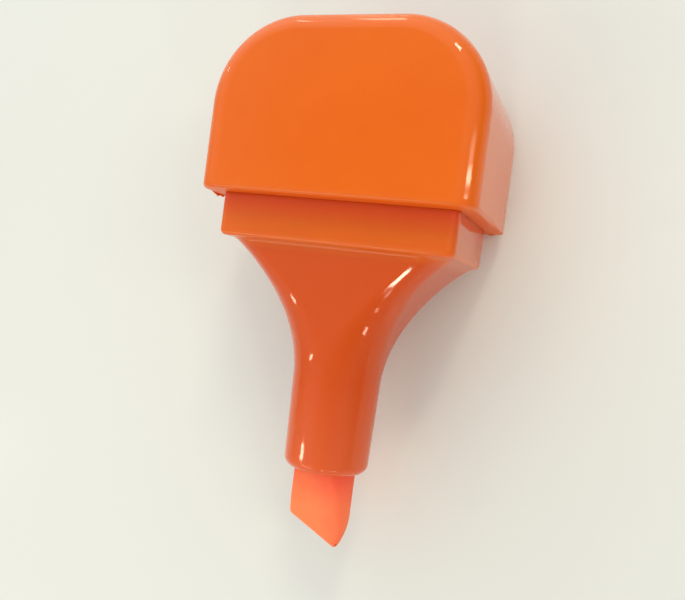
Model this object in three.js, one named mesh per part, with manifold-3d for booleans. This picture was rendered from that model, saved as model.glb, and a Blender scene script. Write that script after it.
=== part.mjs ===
// Flat-bodied mini highlighter, uncapped, lying on its back face.
// Millimetres, +Z up. The nib points along -Y and the rounded end along +Y.
// The origin is the middle of the footprint, on the plane that the back face rests on.

import * as THREE from "three";
import { mergeVertices } from "three/addons/utils/BufferGeometryUtils.js";
import Module from "manifold-3d";

const wasm = await Module();
wasm.setup();

// Head: the full-size rear shell, rounded at its closed end and open at its rim
const HEAD_WIDTH = 26.0;
const HEAD_DEPTH = 17.8;
const HEAD_LENGTH = 16.25;
const HEAD_CORNER_RADIUS = 8.3;
const HEAD_EDGE_FILLET = 1.75;
const HEAD_END_WALL = 1.9;

// Collar: the part that a cap slides over, recessed from the head on all sides
const COLLAR_SIDE_STEP = 1.75;
const COLLAR_FACE_STEP = 2.1;
const COLLAR_LENGTH = 4.0;
const COLLAR_CORNER_RADIUS = 0.7;
const COLLAR_RIM_FILLET = 0.55;

// Skirt: the rear end of the front section, plugged into the head up to the collar
const SKIRT_LENGTH = 6.5;
const SKIRT_SHOULDER = 0.5;
const SKIRT_WALL = 1.3;
const SKIRT_CORNER_RADIUS = 0.9;
const PLUG_CLEARANCE = 0.15;
const SNAP_BEAD_HEIGHT = 0.3;
const SNAP_BEAD_LENGTH = 1.4;
const SNAP_BEAD_START = 2.6;

// Neck: the flare from the collar down to the nib tube
const NECK_INSET = 0.6;
const NECK_FRONT_EDGE_RADIUS = 2.3;
const NECK_BACK_EDGE_RADIUS = 0.8;
const NECK_ROUNDING_START = 0.12;
const NECK_LENGTH = 12.6;
const NECK_WALL = 1.2;

// Nib tube: round, slightly tapered and rounded over at its mouth
const TUBE_ROOT_RADIUS = 4.26;
const TUBE_MOUTH_RADIUS = 4.09;
const TUBE_LENGTH = 8.45;
const TUBE_LIP_RADIUS = 0.9;
const VENT_GROOVE_COUNT = 4;
const VENT_GROOVE_WIDTH = 0.5;
const VENT_GROOVE_DEPTH = 0.25;

// Nib: a round fibre rod, ground down in a curve at its end and cut to a slanted chisel
const NIB_RADIUS = 2.96;
const NIB_BORE_CLEARANCE = 0.12;
const NIB_EXPOSED_LENGTH = 7.35;
const NIB_GROUND_LENGTH = 2.9;
const NIB_GROUND_RADIUS = 2.2;
const NIB_SLANT = THREE.MathUtils.degToRad(26);
const NIB_WEDGE_ANGLE = THREE.MathUtils.degToRad(18);
const NIB_EDGE_THICKNESS = 1.3;
const NIB_TAIL_RADIUS = 1.2;
const NIB_TAIL_TAPER = 4.0;
const NIB_TAIL_DEPTH_IN_CORE = 5.0;
const NIB_TAIL_CLEARANCE = 0.3;

// Ink reservoir: a block of fibre in a thin film sleeve that is open at both ends
const FILM_THICKNESS = 0.3;
const FILM_CLEARANCE = 0.1;
const FILM_CORNER_RADIUS = 2.0;
const RESERVOIR_SIDE_CLEARANCE = 0.3;
const RESERVOIR_END_CLEARANCE = 0.3;
const RESERVOIR_SEAT_FLOOR = 1.1;

// Standoff ribs on the closed end: they stop the reservoir and let air pass behind it
const STANDOFF_COUNT = 3;
const STANDOFF_WIDTH = 1.2;
const STANDOFF_SPACING = 5.5;
const STANDOFF_MIN_HEIGHT = 1.0;

// Smoothness of curves
const ARC_STEPS = 12;
const CORNER_STEPS = 8;
const FILLET_STEPS = 6;
const FLARE_STEPS = 14;
const LIP_STEPS = 6;
const GROUND_STEPS = 6;
const ROD_SIDES = 48;

// Overlap that makes a joined or cut solid pass cleanly through its neighbour's face
const OVERCUT = 1.0;
const MERGE_TOLERANCE = 1e-5;

// Sizes that follow from the ones above
const COLLAR_WIDTH = HEAD_WIDTH - 2 * COLLAR_SIDE_STEP;
const COLLAR_DEPTH = HEAD_DEPTH - 2 * COLLAR_FACE_STEP;
const SKIRT_WIDTH = COLLAR_WIDTH - 2 * SKIRT_SHOULDER;
const SKIRT_DEPTH = COLLAR_DEPTH - 2 * SKIRT_SHOULDER;
const MOUTH_WIDTH = SKIRT_WIDTH + 2 * PLUG_CLEARANCE;
const MOUTH_DEPTH = SKIRT_DEPTH + 2 * PLUG_CLEARANCE;
const MOUTH_CORNER = SKIRT_CORNER_RADIUS + PLUG_CLEARANCE;
const BORE_WIDTH = SKIRT_WIDTH - 2 * SKIRT_WALL;
const BORE_DEPTH = SKIRT_DEPTH - 2 * SKIRT_WALL;
const FILM_WIDTH = BORE_WIDTH - 2 * RESERVOIR_SIDE_CLEARANCE;
const FILM_DEPTH = BORE_DEPTH - 2 * RESERVOIR_SIDE_CLEARANCE;
const BORE_CORNER = FILM_CORNER_RADIUS + RESERVOIR_SIDE_CLEARANCE;
const NIB_BORE_RADIUS = NIB_RADIUS + NIB_BORE_CLEARANCE;

// Stations along the pen; the step between head and collar is at zero
const CAVITY_END_Y = HEAD_LENGTH - HEAD_END_WALL;
const COLLAR_RIM_Y = -COLLAR_LENGTH;
const NECK_END_Y = COLLAR_RIM_Y - NECK_LENGTH;
const TUBE_MOUTH_Y = NECK_END_Y - TUBE_LENGTH;
const NIB_TIP_Y = TUBE_MOUTH_Y - NIB_EXPOSED_LENGTH;
const PEN_MIDDLE_Y = (HEAD_LENGTH + NIB_TIP_Y) / 2;
const PEN_LENGTH = HEAD_LENGTH - NIB_TIP_Y;
const RESERVOIR_SEAT_Y = COLLAR_RIM_Y + RESERVOIR_SEAT_FLOOR;
const RESERVOIR_FRONT_Y = RESERVOIR_SEAT_Y + RESERVOIR_END_CLEARANCE;
const RESERVOIR_REAR_Y = reservoirRear();
const NIB_TAIL_END_Y = RESERVOIR_FRONT_Y + NIB_TAIL_DEPTH_IN_CORE;

// The square-ended reservoir stops where the rounded end of the cavity closes in on it
function reservoirRear() {
  const cornerRadius = HEAD_CORNER_RADIUS - HEAD_END_WALL;
  const halfWidth = FILM_WIDTH / 2 + RESERVOIR_SIDE_CLEARANCE;
  const reach = Math.max(0, halfWidth - (HEAD_WIDTH / 2 - HEAD_CORNER_RADIUS));
  const rise = Math.sqrt(Math.max(0, cornerRadius ** 2 - reach ** 2));
  const cornerY = HEAD_LENGTH - HEAD_CORNER_RADIUS + rise;
  const standoffY = CAVITY_END_Y - STANDOFF_MIN_HEIGHT - RESERVOIR_END_CLEARANCE;
  return Math.min(cornerY, standoffY);
}

// Closed three.js geometry to a solid for joining and cutting
function toSolid(geometry) {
  geometry.deleteAttribute("normal");
  geometry.deleteAttribute("uv");
  const merged = mergeVertices(geometry, MERGE_TOLERANCE);
  const mesh = new wasm.Mesh({
    numProp: 3,
    vertProperties: new Float32Array(merged.attributes.position.array),
    triVerts: new Uint32Array(merged.index.array),
  });
  return new wasm.Manifold(mesh);
}

// Solid back to a geometry that a mesh can show
function toGeometry(solid) {
  const mesh = solid.getMesh();
  const geometry = new THREE.BufferGeometry();
  geometry.setAttribute("position", new THREE.BufferAttribute(mesh.vertProperties, 3));
  geometry.setIndex(new THREE.BufferAttribute(mesh.triVerts, 1));
  geometry.computeVertexNormals();
  return geometry;
}

// Everything on the far side of a plane, as a block that is larger than the pen
function beyondPlane(point, direction) {
  const side = 2 * PEN_LENGTH;
  const block = new THREE.BoxGeometry(side, side, side);
  block.translate(0, 0, side / 2);
  const turn = new THREE.Quaternion();
  turn.setFromUnitVectors(new THREE.Vector3(0, 0, 1), direction.clone().normalize());
  block.applyQuaternion(turn);
  block.translate(point.x, point.y, point.z);
  return toSolid(block);
}

function roundedRectangle(width, height, radius) {
  const x = width / 2 - radius;
  const y = height / 2 - radius;
  const shape = new THREE.Shape();
  shape.absarc(x, y, radius, 0, Math.PI / 2);
  shape.absarc(-x, y, radius, Math.PI / 2, Math.PI);
  shape.absarc(-x, -y, radius, Math.PI, 1.5 * Math.PI);
  shape.absarc(x, -y, radius, 1.5 * Math.PI, 2 * Math.PI);
  return shape;
}

// Straight prism along the pen between two stations
function prismAlong(width, depth, radius, fromY, toY) {
  const shape = roundedRectangle(width, depth, radius);
  const prism = new THREE.ExtrudeGeometry(shape, {
    depth: toY - fromY,
    bevelEnabled: false,
    curveSegments: FILLET_STEPS,
  });
  prism.rotateX(Math.PI / 2);
  prism.translate(0, toY, 0);
  return toSolid(prism);
}

// Front view of the head: straight sides, then a flat end between two round corners
function headOutline(width, endY, cornerRadius, startY) {
  const x = width / 2;
  const shape = new THREE.Shape();
  shape.moveTo(-x, startY);
  shape.lineTo(x, startY);
  shape.absarc(x - cornerRadius, endY - cornerRadius, cornerRadius, 0, Math.PI / 2);
  shape.absarc(cornerRadius - x, endY - cornerRadius, cornerRadius, Math.PI / 2, Math.PI);
  return shape;
}

// The block starts in front of the rim, so that its fillets there are cut away
function headBlock() {
  const startY = -HEAD_LENGTH;
  const outline = headOutline(HEAD_WIDTH, HEAD_LENGTH, HEAD_CORNER_RADIUS, startY);
  const depth = HEAD_DEPTH - 2 * HEAD_EDGE_FILLET;
  const block = new THREE.ExtrudeGeometry(outline, {
    depth,
    curveSegments: ARC_STEPS,
    bevelSize: HEAD_EDGE_FILLET,
    bevelThickness: HEAD_EDGE_FILLET,
    bevelOffset: -HEAD_EDGE_FILLET,
    bevelSegments: FILLET_STEPS,
  });
  block.translate(0, 0, -depth / 2);
  const rim = beyondPlane(new THREE.Vector3(), new THREE.Vector3(0, -1, 0));
  return toSolid(block).subtract(rim);
}

function headCavity() {
  const bore = prismAlong(MOUTH_WIDTH, MOUTH_DEPTH, MOUTH_CORNER, -OVERCUT, CAVITY_END_Y);
  const width = HEAD_WIDTH - 2 * HEAD_END_WALL;
  const radius = HEAD_CORNER_RADIUS - HEAD_END_WALL;
  const outline = headOutline(width, CAVITY_END_Y, radius, -HEAD_LENGTH);
  const slab = new THREE.ExtrudeGeometry(outline, {
    depth: HEAD_DEPTH,
    bevelEnabled: false,
    curveSegments: ARC_STEPS,
  });
  slab.translate(0, 0, -HEAD_DEPTH / 2);
  const groove = prismAlong(
    MOUTH_WIDTH + 2 * SNAP_BEAD_HEIGHT,
    MOUTH_DEPTH + 2 * SNAP_BEAD_HEIGHT,
    MOUTH_CORNER + SNAP_BEAD_HEIGHT,
    SNAP_BEAD_START - PLUG_CLEARANCE,
    SNAP_BEAD_START + SNAP_BEAD_LENGTH + PLUG_CLEARANCE,
  );
  return bore.intersect(toSolid(slab)).add(groove);
}

// The ribs are rooted in the middle of the end wall
function standoffRibs() {
  const fromY = RESERVOIR_REAR_Y + RESERVOIR_END_CLEARANCE;
  const height = (CAVITY_END_Y + HEAD_LENGTH) / 2 - fromY;
  const depth = MOUTH_DEPTH + OVERCUT;
  const ribs = [];
  for (let i = 0; i < STANDOFF_COUNT; i += 1) {
    const rib = new THREE.BoxGeometry(STANDOFF_WIDTH, height, depth);
    const x = (i - (STANDOFF_COUNT - 1) / 2) * STANDOFF_SPACING;
    rib.translate(x, fromY + height / 2, 0);
    ribs.push(toSolid(rib));
  }
  return ribs;
}

function headShell() {
  let shell = headBlock().subtract(headCavity());
  for (const rib of standoffRibs()) {
    shell = shell.add(rib);
  }
  return shell;
}

// One cross-section of the front section: a rounded rectangle that turns, as
// roundness goes from 0 to 1, into an ellipse of the same half width and half depth
function section(y, halfWidth, halfDepth, frontCorner, backCorner, roundness = 0) {
  const points = [];
  const count = 4 * (CORNER_STEPS + 1);
  for (let i = 0; i < count; i += 1) {
    const quadrant = Math.floor(i / (CORNER_STEPS + 1));
    const step = i % (CORNER_STEPS + 1);
    const arcAngle = (quadrant + step / CORNER_STEPS) * (Math.PI / 2);
    const signX = quadrant === 0 || quadrant === 3 ? 1 : -1;
    const signZ = quadrant < 2 ? 1 : -1;
    const corner = quadrant < 2 ? frontCorner : backCorner;
    const boxX = signX * (halfWidth - corner) + corner * Math.cos(arcAngle);
    const boxZ = signZ * (halfDepth - corner) + corner * Math.sin(arcAngle);
    const ovalAngle = ((i + 0.5) / count) * 2 * Math.PI;
    const ovalX = halfWidth * Math.cos(ovalAngle);
    const ovalZ = halfDepth * Math.sin(ovalAngle);
    const x = THREE.MathUtils.lerp(boxX, ovalX, roundness);
    const z = THREE.MathUtils.lerp(boxZ, ovalZ, roundness);
    points.push(new THREE.Vector3(x, y, z));
  }
  return points;
}

// Closed body through a row of sections, listed from the rear to the nib
function loft(sections) {
  const count = sections[0].length;
  const positions = [];
  const index = [];
  for (const points of sections) {
    for (const point of points) {
      positions.push(point.x, point.y, point.z);
    }
  }
  for (let row = 0; row + 1 < sections.length; row += 1) {
    for (let i = 0; i < count; i += 1) {
      const a = row * count + i;
      const b = row * count + ((i + 1) % count);
      index.push(a, b, b + count, a, b + count, a + count);
    }
  }
  const last = (sections.length - 1) * count;
  for (let i = 1; i + 1 < count; i += 1) {
    index.push(0, i + 1, i);
    index.push(last, last + i, last + i + 1);
  }
  const geometry = new THREE.BufferGeometry();
  geometry.setAttribute("position", new THREE.Float32BufferAttribute(positions, 3));
  geometry.setIndex(index);
  return toSolid(geometry);
}

// Half size of the flare at a share of its length: an arc that ends in line with the tube
function flareSize(startSize, share) {
  const drop = startSize - TUBE_ROOT_RADIUS;
  const radius = (NECK_LENGTH ** 2 + drop ** 2) / (2 * drop);
  const ahead = NECK_LENGTH * (1 - share);
  const rise = radius - Math.sqrt(radius ** 2 - ahead ** 2);
  return { size: TUBE_ROOT_RADIUS + rise, slopeCosine: Math.sqrt(1 - (ahead / radius) ** 2) };
}

function neckSections(inner) {
  const sections = [];
  for (let i = 0; i <= FLARE_STEPS; i += 1) {
    const share = i / FLARE_STEPS;
    const side = flareSize(COLLAR_WIDTH / 2 - NECK_INSET, share);
    const face = flareSize(COLLAR_DEPTH / 2 - NECK_INSET, share);
    const roundness = THREE.MathUtils.smoothstep(share, NECK_ROUNDING_START, 1);
    const y = COLLAR_RIM_Y - share * NECK_LENGTH;
    if (inner) {
      const halfWidth = Math.max(side.size - NECK_WALL / side.slopeCosine, NIB_BORE_RADIUS);
      const halfDepth = Math.max(face.size - NECK_WALL / face.slopeCosine, NIB_BORE_RADIUS);
      sections.push(section(y, halfWidth, halfDepth, BORE_CORNER, BORE_CORNER, roundness));
    } else {
      const frontCorner = NECK_FRONT_EDGE_RADIUS;
      const backCorner = NECK_BACK_EDGE_RADIUS;
      sections.push(section(y, side.size, face.size, frontCorner, backCorner, roundness));
    }
  }
  return sections;
}

function collarSections() {
  const corner = COLLAR_CORNER_RADIUS;
  const sections = [section(0, COLLAR_WIDTH / 2, COLLAR_DEPTH / 2, corner, corner)];
  for (let i = 0; i <= FILLET_STEPS; i += 1) {
    const angle = (i / FILLET_STEPS) * (Math.PI / 2);
    const inset = COLLAR_RIM_FILLET * (1 - Math.cos(angle));
    const y = COLLAR_RIM_Y + COLLAR_RIM_FILLET * (1 - Math.sin(angle));
    const halfWidth = COLLAR_WIDTH / 2 - inset;
    const halfDepth = COLLAR_DEPTH / 2 - inset;
    sections.push(section(y, halfWidth, halfDepth, corner, corner));
  }
  return sections;
}

// Round section of the nib tube or of its bore
function ring(y, radius) {
  return section(y, radius, radius, 0, 0, 1);
}

function tubeSections() {
  const sections = [];
  for (let i = 0; i <= LIP_STEPS; i += 1) {
    const angle = (i / LIP_STEPS) * (Math.PI / 2);
    const radius = TUBE_MOUTH_RADIUS - TUBE_LIP_RADIUS * (1 - Math.cos(angle));
    const y = TUBE_MOUTH_Y + TUBE_LIP_RADIUS * (1 - Math.sin(angle));
    sections.push(ring(y, radius));
  }
  return sections;
}

function skirt() {
  const body = prismAlong(SKIRT_WIDTH, SKIRT_DEPTH, SKIRT_CORNER_RADIUS, -OVERCUT, SKIRT_LENGTH);
  const bead = prismAlong(
    SKIRT_WIDTH + 2 * SNAP_BEAD_HEIGHT,
    SKIRT_DEPTH + 2 * SNAP_BEAD_HEIGHT,
    SKIRT_CORNER_RADIUS + SNAP_BEAD_HEIGHT,
    SNAP_BEAD_START,
    SNAP_BEAD_START + SNAP_BEAD_LENGTH,
  );
  return body.add(bead);
}

// Straight chamber for the reservoir, then the inside of the neck down to the nib bore
function frontSectionHollow() {
  const rearY = SKIRT_LENGTH + OVERCUT;
  const chamber = prismAlong(BORE_WIDTH, BORE_DEPTH, BORE_CORNER, RESERVOIR_SEAT_Y, rearY);
  const sections = neckSections(true);
  const funnelMouth = sections[0].map((point) => {
    return new THREE.Vector3(point.x, RESERVOIR_SEAT_Y + OVERCUT, point.z);
  });
  const boreEnd = ring(TUBE_MOUTH_Y - OVERCUT, NIB_BORE_RADIUS);
  return chamber.add(loft([funnelMouth, ...sections, boreEnd]));
}

// Grooves along the nib bore let air in as ink leaves the reservoir
function ventGrooves() {
  const length = TUBE_LENGTH + OVERCUT;
  const depth = NIB_BORE_RADIUS + VENT_GROOVE_DEPTH;
  const grooves = [];
  for (let i = 0; i < VENT_GROOVE_COUNT; i += 1) {
    const groove = new THREE.BoxGeometry(VENT_GROOVE_WIDTH, length, depth);
    groove.translate(0, TUBE_MOUTH_Y - OVERCUT + length / 2, depth / 2);
    groove.rotateY((i / VENT_GROOVE_COUNT) * 2 * Math.PI);
    grooves.push(toSolid(groove));
  }
  return grooves;
}

function frontSection() {
  const shoulder = [...collarSections(), ...neckSections(false), ...tubeSections()];
  let part = loft(shoulder).add(skirt()).subtract(frontSectionHollow());
  for (const groove of ventGrooves()) {
    part = part.subtract(groove);
  }
  return part;
}

// Rod of the nib, with its tail swollen by a clearance where it is used as a cutter
function nibRod(clearance) {
  const radius = NIB_RADIUS + clearance;
  const tailEndY = NIB_TAIL_END_Y + clearance;
  const profile = [new THREE.Vector2(0, NIB_TIP_Y)];
  for (let i = 0; i <= GROUND_STEPS; i += 1) {
    const share = i / GROUND_STEPS;
    const drop = (NIB_RADIUS - NIB_GROUND_RADIUS) * (1 - share) ** 2;
    profile.push(new THREE.Vector2(radius - drop, NIB_TIP_Y + share * NIB_GROUND_LENGTH));
  }
  profile.push(new THREE.Vector2(radius, NIB_TAIL_END_Y - NIB_TAIL_TAPER));
  profile.push(new THREE.Vector2(NIB_TAIL_RADIUS + clearance, tailEndY));
  profile.push(new THREE.Vector2(0, tailEndY));
  return toSolid(new THREE.LatheGeometry(profile, ROD_SIDES));
}

// The slanted end and the two ground faces all run along the slanted writing edge
function chiselNib() {
  const edge = new THREE.Vector3(Math.cos(NIB_SLANT), -Math.sin(NIB_SLANT), 0);
  const edgeY = NIB_TIP_Y + NIB_GROUND_RADIUS * Math.tan(NIB_SLANT);
  const end = new THREE.Vector3(-Math.sin(NIB_SLANT), -Math.cos(NIB_SLANT), 0);
  let nib = nibRod(0).subtract(beyondPlane(new THREE.Vector3(0, edgeY, 0), end));
  for (const side of [1, -1]) {
    const slope = new THREE.Vector3(0, Math.cos(NIB_WEDGE_ANGLE), side * Math.sin(NIB_WEDGE_ANGLE));
    const outward = new THREE.Vector3().crossVectors(edge, slope).multiplyScalar(side);
    const onEdge = new THREE.Vector3(0, edgeY, side * NIB_EDGE_THICKNESS / 2);
    nib = nib.subtract(beyondPlane(onEdge, outward));
  }
  return nib;
}

function reservoirPrism(inset) {
  return prismAlong(
    FILM_WIDTH - 2 * inset,
    FILM_DEPTH - 2 * inset,
    FILM_CORNER_RADIUS - inset,
    RESERVOIR_FRONT_Y,
    RESERVOIR_REAR_Y,
  );
}

function reservoirFilm() {
  const hollow = prismAlong(
    FILM_WIDTH - 2 * FILM_THICKNESS,
    FILM_DEPTH - 2 * FILM_THICKNESS,
    FILM_CORNER_RADIUS - FILM_THICKNESS,
    RESERVOIR_FRONT_Y - OVERCUT,
    RESERVOIR_REAR_Y + OVERCUT,
  );
  return reservoirPrism(0).subtract(hollow);
}

function inkCore() {
  return reservoirPrism(FILM_THICKNESS + FILM_CLEARANCE).subtract(nibRod(NIB_TAIL_CLEARANCE));
}

function addPiece(group, name, solid, colour, roughness) {
  const material = new THREE.MeshStandardMaterial({ color: colour, roughness, metalness: 0 });
  const mesh = new THREE.Mesh(toGeometry(solid), material);
  mesh.name = name;
  group.add(mesh);
}

const pen = new THREE.Group();
pen.position.set(0, -PEN_MIDDLE_Y, HEAD_DEPTH / 2);
addPiece(pen, "head_shell", headShell(), "#f06c24", 0.25);
addPiece(pen, "front_section", frontSection(), "#d8592c", 0.22);
addPiece(pen, "chisel_nib", chiselNib(), "#ff7a50", 0.85);
addPiece(pen, "ink_core", inkCore(), "#f4571f", 0.95);
addPiece(pen, "core_film", reservoirFilm(), "#e9e4dc", 0.35);

const highlighter = new THREE.Group();
highlighter.add(pen);
export default highlighter;
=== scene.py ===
# %% [markdown]
# # A mini highlighter, from two mouldings and a nib
#
# The real object is small and plain: a thick orange head, a redder front section that plugs into it, and a slanted
# fibre nib. Almost all of its look comes from gloss: soft edges that catch a lamp, and a pale table that throws its
# light back at the sides. This lesson builds the smooth surfaces in code, then the plastics and the fibre.
#
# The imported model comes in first. It fixes every size and place, and nothing below moves it.

# %% Load the fixed frame
import math

import bmesh
import bpy
import numpy as np
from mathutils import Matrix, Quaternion, Vector, noise


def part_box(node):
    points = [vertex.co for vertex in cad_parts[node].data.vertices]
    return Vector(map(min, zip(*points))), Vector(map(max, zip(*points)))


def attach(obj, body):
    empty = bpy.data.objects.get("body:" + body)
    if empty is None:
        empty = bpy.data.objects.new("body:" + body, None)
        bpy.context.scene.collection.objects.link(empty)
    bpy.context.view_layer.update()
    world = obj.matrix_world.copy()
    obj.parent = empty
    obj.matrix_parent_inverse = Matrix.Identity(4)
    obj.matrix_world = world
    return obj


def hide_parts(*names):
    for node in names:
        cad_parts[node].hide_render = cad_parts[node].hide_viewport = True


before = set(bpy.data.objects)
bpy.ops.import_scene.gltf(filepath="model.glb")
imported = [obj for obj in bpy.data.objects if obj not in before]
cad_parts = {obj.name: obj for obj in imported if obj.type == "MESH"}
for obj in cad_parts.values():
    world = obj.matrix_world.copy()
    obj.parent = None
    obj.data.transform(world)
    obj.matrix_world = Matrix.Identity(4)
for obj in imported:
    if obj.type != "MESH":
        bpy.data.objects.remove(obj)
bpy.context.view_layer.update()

MM = 0.001
scene = bpy.context.scene
print("nodes:", sorted(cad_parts))

# %% [markdown]
# ## The camera
#
# A camera is a place, a turn and a lens. This one looks steeply down from the right, so that the right sides of the
# head and the collar show. The lens follows from the focal length in pixels: a sensor as wide as the picture turns
# pixels into millimetres.

# %% Camera at the photograph's view
CAMERA_PLACE_MM = (23.478, -0.368, 74.662)
CAMERA_TURN_DEG = (2.513, 19.867, 7.941)
FOCAL_PX = 717.64
IMAGE_WIDTH_PX = 685
SENSOR_WIDTH_MM = 36.0

camera_data = bpy.data.cameras.new("camera")
camera_data.sensor_fit = "HORIZONTAL"
camera_data.sensor_width = SENSOR_WIDTH_MM
camera_data.lens = SENSOR_WIDTH_MM * FOCAL_PX / IMAGE_WIDTH_PX
camera_data.clip_start = 1 * MM
camera = bpy.data.objects.new("camera", camera_data)
scene.collection.objects.link(camera)
camera.location = Vector(CAMERA_PLACE_MM) * MM
camera.rotation_euler = [math.radians(angle) for angle in CAMERA_TURN_DEG]
scene.camera = camera
print("lens", round(camera_data.lens, 2), "mm")

# %% [markdown]
# ## Sizes from the frame
#
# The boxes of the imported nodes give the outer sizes, so the smooth pieces can't drift from them. What a box can't
# give, such as a fillet or a wall, is named here in millimetres, as the moulds would be drawn.

# %% Outer sizes and stations, in millimetres
def node_box_mm(node):
    low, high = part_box(node)
    return low / MM, high / MM


head_low, head_high = node_box_mm("head_shell")
front_low, front_high = node_box_mm("front_section")
nib_low, nib_high = node_box_mm("chisel_nib")
_, core_high = node_box_mm("ink_core")

AXIS_Z = (head_low.z + head_high.z) / 2
STEP_Y = head_low.y
HEAD_END_Y = head_high.y
SKIRT_END_Y = front_high.y
TUBE_MOUTH_Y = front_low.y
NIB_TIP_Y = nib_low.y

HEAD_HALF_WIDTH = head_high.x
HEAD_HALF_DEPTH = (head_high.z - head_low.z) / 2
HEAD_CORNER_RADIUS = 8.3
HEAD_EDGE_FILLET = 1.75
HEAD_SIDE_DRAFT = 0.08
HEAD_END_WALL = 1.9
RIM_ROUNDING = 0.4

COLLAR_HALF_WIDTH = front_high.x
COLLAR_HALF_DEPTH = (front_high.z - front_low.z) / 2
COLLAR_LENGTH = 4.0
COLLAR_CORNER_RADIUS = 0.7
COLLAR_RIM_FILLET = 0.55
COLLAR_RIM_INSET = 0.38
COLLAR_BACK_CHAMFER = 0.04
SKIRT_SHOULDER = 0.5
SKIRT_CORNER_RADIUS = 0.9
SKIRT_WALL = 1.3
PLUG_CLEARANCE = 0.15
BEAD_HEIGHT = 0.3
BEAD_LENGTH = 1.4
BEAD_START = 2.6

NECK_INSET = 0.6
NECK_FRONT_EDGE_RADIUS = 2.3
NECK_BACK_EDGE_RADIUS = 0.8
NECK_ROUNDING_START = 0.12
NECK_LENGTH = 12.6
NECK_WALL = 1.2
NECK_ROOT_FILLET = 0.35
TUBE_ROOT_RADIUS = 4.26
TUBE_MOUTH_RADIUS = 4.09
TUBE_LIP_RADIUS = 0.9
SEAT_FLOOR = 1.1
CHAMBER_CORNER = 2.3
VENT_GROOVE_COUNT = 4
VENT_GROOVE_WIDTH = 0.5
VENT_GROOVE_DEPTH = 0.25
RIB_COUNT = 3
RIB_WIDTH = 1.2
RIB_SPACING = 5.5
RIB_CLEARANCE = 0.3

NIB_RADIUS = nib_high.x
NIB_BORE_CLEARANCE = 0.12
NIB_GROUND_LENGTH = 3.1
NIB_GROUND_RADIUS = 2.15
NIB_SLANT = math.radians(26)
NIB_WEDGE_ANGLE = math.radians(18)
NIB_EDGE_THICKNESS = 1.3
NIB_EDGE_ROUNDING = 0.28
NIB_TAIL_RADIUS = 1.2
NIB_TAIL_TAPER = 4.0
print("head", round(2 * HEAD_HALF_WIDTH, 2), "x", round(2 * HEAD_HALF_DEPTH, 2), "mm")

# %% [markdown]
# ## From rings to a mesh
#
# Both mouldings are drawn as rows of rings, as a pattern maker would stack templates. Every ring has the same number
# of points, so two neighbours join with plain four-sided faces. Sharp corners are marked by angle, and a weighted
# normal modifier keeps the flat faces flat right up to their fillets.

# %% Helpers that turn point rings into a piece
SHARP_ANGLE = math.radians(38)
SAME_PLACE_MM = 0.0005
# The largest weight there is: big flat faces decide the shading along their edges
FACE_WEIGHT = 100


def link_piece(name, mesh, stands_for):
    """Puts a finished mesh in the scene, riding on the body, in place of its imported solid."""
    piece = bpy.data.objects.new(name, mesh)
    scene.collection.objects.link(piece)
    weighted = piece.modifiers.new("even_shading", "WEIGHTED_NORMAL")
    weighted.keep_sharp = True
    weighted.weight = FACE_WEIGHT
    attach(piece, "root")
    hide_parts(stands_for)
    print(name, len(mesh.polygons), "faces")
    return piece


def finish_mesh(name, shape):
    """Metres, outward faces, smooth shading with sharp corners kept."""
    bmesh.ops.remove_doubles(shape, verts=shape.verts, dist=SAME_PLACE_MM)
    print(name, "open edges:", sum(not edge.is_manifold for edge in shape.edges))
    bmesh.ops.scale(shape, vec=(MM, MM, MM), verts=shape.verts)
    bmesh.ops.recalc_face_normals(shape, faces=shape.faces)
    for face in shape.faces:
        face.smooth = True
    for edge in shape.edges:
        edge.smooth = not edge.is_manifold or edge.calc_face_angle() < SHARP_ANGLE
    mesh = bpy.data.meshes.new(name)
    shape.to_mesh(mesh)
    shape.free()
    return mesh


def add_ring(shape, points):
    return [shape.verts.new(point) for point in points]


def join_rings(shape, ring_a, ring_b, closed=True):
    count = len(ring_a)
    for i in range(count if closed else count - 1):
        k = (i + 1) % count
        shape.faces.new((ring_a[i], ring_a[k], ring_b[k], ring_b[i]))


def lerp(a, b, share):
    return a + (b - a) * share


def smoothstep(low, high, value):
    share = min(max((value - low) / (high - low), 0.0), 1.0)
    return share * share * (3 - 2 * share)


# %% [markdown]
# ## The cross-section of the front section
#
# A section starts as a rounded rectangle at the collar and turns into a circle at the nib tube. Each point knows its
# place on both shapes, and the shape in between is a plain blend of the two. The front corners are rounder than the
# back ones on the real moulding, which is why they have a radius each.

# %% One section, as points round the pen's axis
CORNER_POINTS = 8
POINTS_PER_QUADRANT = CORNER_POINTS + 1
# Places of the extra points on a flat; two lie close to its ends, so that its shading stays flat
FLAT_SHARES = (0.0, 0.02, 0.5, 0.98)
FINENESS = len(FLAT_SHARES)


def section(y, half_width, half_depth, front_corner, back_corner, roundness=0.0):
    """A ring of points at y, from a rounded rectangle at roundness 0 to an ellipse at 1."""
    sizes = half_width, half_depth, front_corner, back_corner
    steps = 4 * POINTS_PER_QUADRANT
    points = []
    for i in range(steps * FINENESS):
        place = i / FINENESS
        quadrant = int(place // POINTS_PER_QUADRANT)
        along = place - quadrant * POINTS_PER_QUADRANT
        on_box = box_point(quadrant, min(along, CORNER_POINTS), *sizes)
        if along > CORNER_POINTS:
            share = FLAT_SHARES[i % FINENESS]
            following = box_point((quadrant + 1) % 4, 0, *sizes)
            on_box = [lerp(a, b, share) for a, b in zip(on_box, following)]
        # Half a step on, so that the middle of each flat stays on its axis
        turn = (place + 0.5) / steps * math.tau
        x = lerp(on_box[0], half_width * math.cos(turn), roundness)
        z = lerp(on_box[1], half_depth * math.sin(turn), roundness)
        points.append((x, y, AXIS_Z + z))
    return points


def round_section(y, radius):
    return section(y, radius, radius, 0, 0, 1)


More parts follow.
